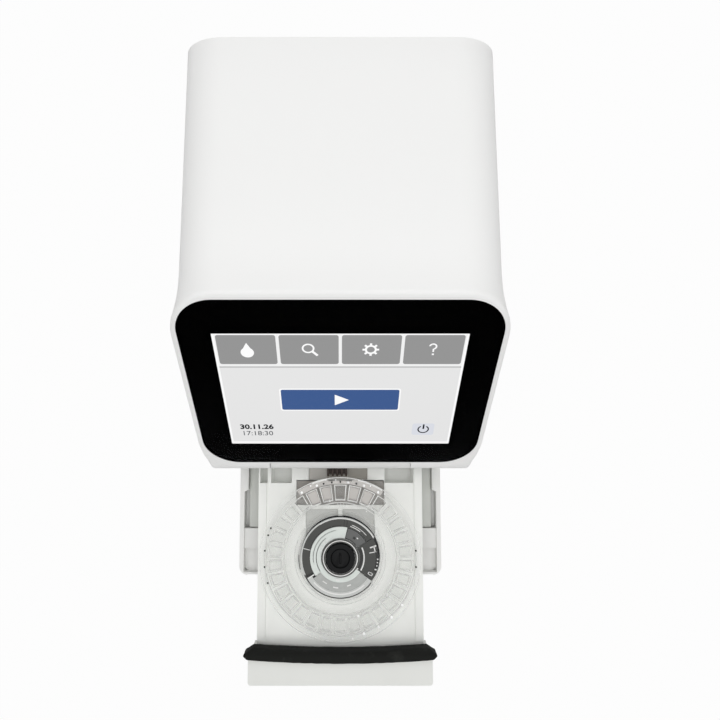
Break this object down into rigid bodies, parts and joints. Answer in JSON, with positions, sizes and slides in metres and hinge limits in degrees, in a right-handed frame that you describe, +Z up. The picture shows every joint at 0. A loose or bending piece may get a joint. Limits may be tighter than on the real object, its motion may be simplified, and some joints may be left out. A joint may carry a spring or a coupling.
{
  "type": "blood chemistry analyzer",
  "caption": "Bench-top blood chemistry analyzer: white case with a sloping framed touch screen, and below it a motor-driven drawer that carries a clear reagent disc on a spindle.",
  "frame": {"origin": "on the table, in the middle of the part's bounding box with the drawer open", "axes": "+Z up, +Y from the drawer to the rear panel, +X to the right of a person facing the screen"},
  "size_m": [0.1432, 0.3024, 0.2085],
  "materials": {
    "shell_white": "satin white moulded plastic",
    "lip_white": "satin off-white moulded plastic",
    "frame_grey": "fine-textured light grey plastic",
    "tray_white": "smooth off-white moulded plastic",
    "rail_plastic": "smooth low-friction plastic",
    "gasket_foam": "black closed-cell foam",
    "black_print": "black print behind the glass",
    "display": "lit display surface",
    "cover_glass": "polished touch glass",
    "lens_glass": "polished lens",
    "clear_plastic": "clear moulded plastic",
    "hub_black": "polished black plastic",
    "black_plastic": "satin black plastic",
    "black_metal": "black anodised",
    "steel": "plain steel",
    "sheet_metal": "mill finish",
    "circuit_board": "green solder mask",
    "heater_film": "brown polyimide film",
    "comb_brown": "dark brown plastic",
    "foot_rubber": "dark grey rubber"
  },
  "bodies": {
    "case": {"upper_shell": "shell_white", "front_lip": "lip_white", "base_housing": "shell_white", "rear_panel": "frame_grey", "bottom_cover": "frame_grey", "foot_1": "foot_rubber", "foot_2": "foot_rubber", "foot_3": "foot_rubber", "foot_4": "foot_rubber", "cover_screw_1": "steel", "cover_screw_2": "steel", "cover_screw_3": "steel", "cover_screw_4": "steel", "panel_screw_1": "steel", "panel_screw_2": "steel", "panel_screw_3": "steel", "panel_screw_4": "steel", "mouth_frame": "frame_grey", "cover_glass": "cover_glass", "mask_frame": "black_print", "lcd_panel": "display", "display_bracket": "sheet_metal", "display_board": "circuit_board", "rail_left": "rail_plastic", "rail_right": "rail_plastic", "chassis_plate": "sheet_metal", "chamber_bridge": "sheet_metal", "heater_mat": "heater_film", "lamp_housing": "black_metal", "lamp_board": "circuit_board", "condenser_lens": "lens_glass", "detector_block": "black_metal", "detector_board": "circuit_board", "drawer_sensor": "black_plastic", "main_board": "circuit_board", "power_supply": "sheet_metal", "drive_motor": "steel", "fan_frame": "black_plastic", "power_inlet": "black_plastic", "switch_frame": "black_plastic", "usb_port_1": "steel", "usb_port_2": "steel", "network_port": "steel"},
    "drawer": {"drawer_tray": "tray_white", "drawer_front": "shell_white", "drawer_gasket": "gasket_foam", "runner_left": "rail_plastic", "runner_right": "rail_plastic", "drive_rack": "rail_plastic", "cable_comb": "comb_brown", "spindle_motor": "black_metal", "motor_plate": "black_metal"},
    "pinion": {"drive_pinion": "rail_plastic"},
    "spindle": {"spindle_hub": "hub_black", "spindle_shaft": "steel"},
    "disc": {"reagent_disc": "clear_plastic"},
    "fan": {"fan_rotor": "black_plastic"},
    "rocker": {"power_rocker": "black_plastic"}
  },
  "joints": [
    {"name": "drawer_slide", "type": "slide", "parent": "case", "child": "drawer", "axis": [0, 1, 0], "range_m": [0, 0.099]},
    {"name": "pinion_spin", "type": "hinge", "parent": "case", "child": "pinion", "pos_m": [-0.0304, 0.0224, 0.09], "axis": [0, 0, 1], "continuous": true},
    {"name": "spindle_spin", "type": "hinge", "parent": "drawer", "child": "spindle", "pos_m": [0, -0.087, 0.102], "axis": [0, 0, 1], "continuous": true},
    {"name": "disc_lift", "type": "slide", "parent": "spindle", "child": "disc", "axis": [0, 0, 1], "range_m": [0, 0.008]},
    {"name": "fan_spin", "type": "hinge", "parent": "case", "child": "fan", "pos_m": [-0.032, 0.1417, 0.15], "axis": [0, 1, 0], "continuous": true},
    {"name": "power_switch", "type": "hinge", "parent": "case", "child": "rocker", "pos_m": [-0.004, 0.1468, 0.036], "axis": [-1, 0, 0], "range_deg": [0, 18]}
  ],
  "couplings": [
    {"joint": "pinion_spin", "follows": "drawer_slide", "rad_per_m": -125}
  ]
}
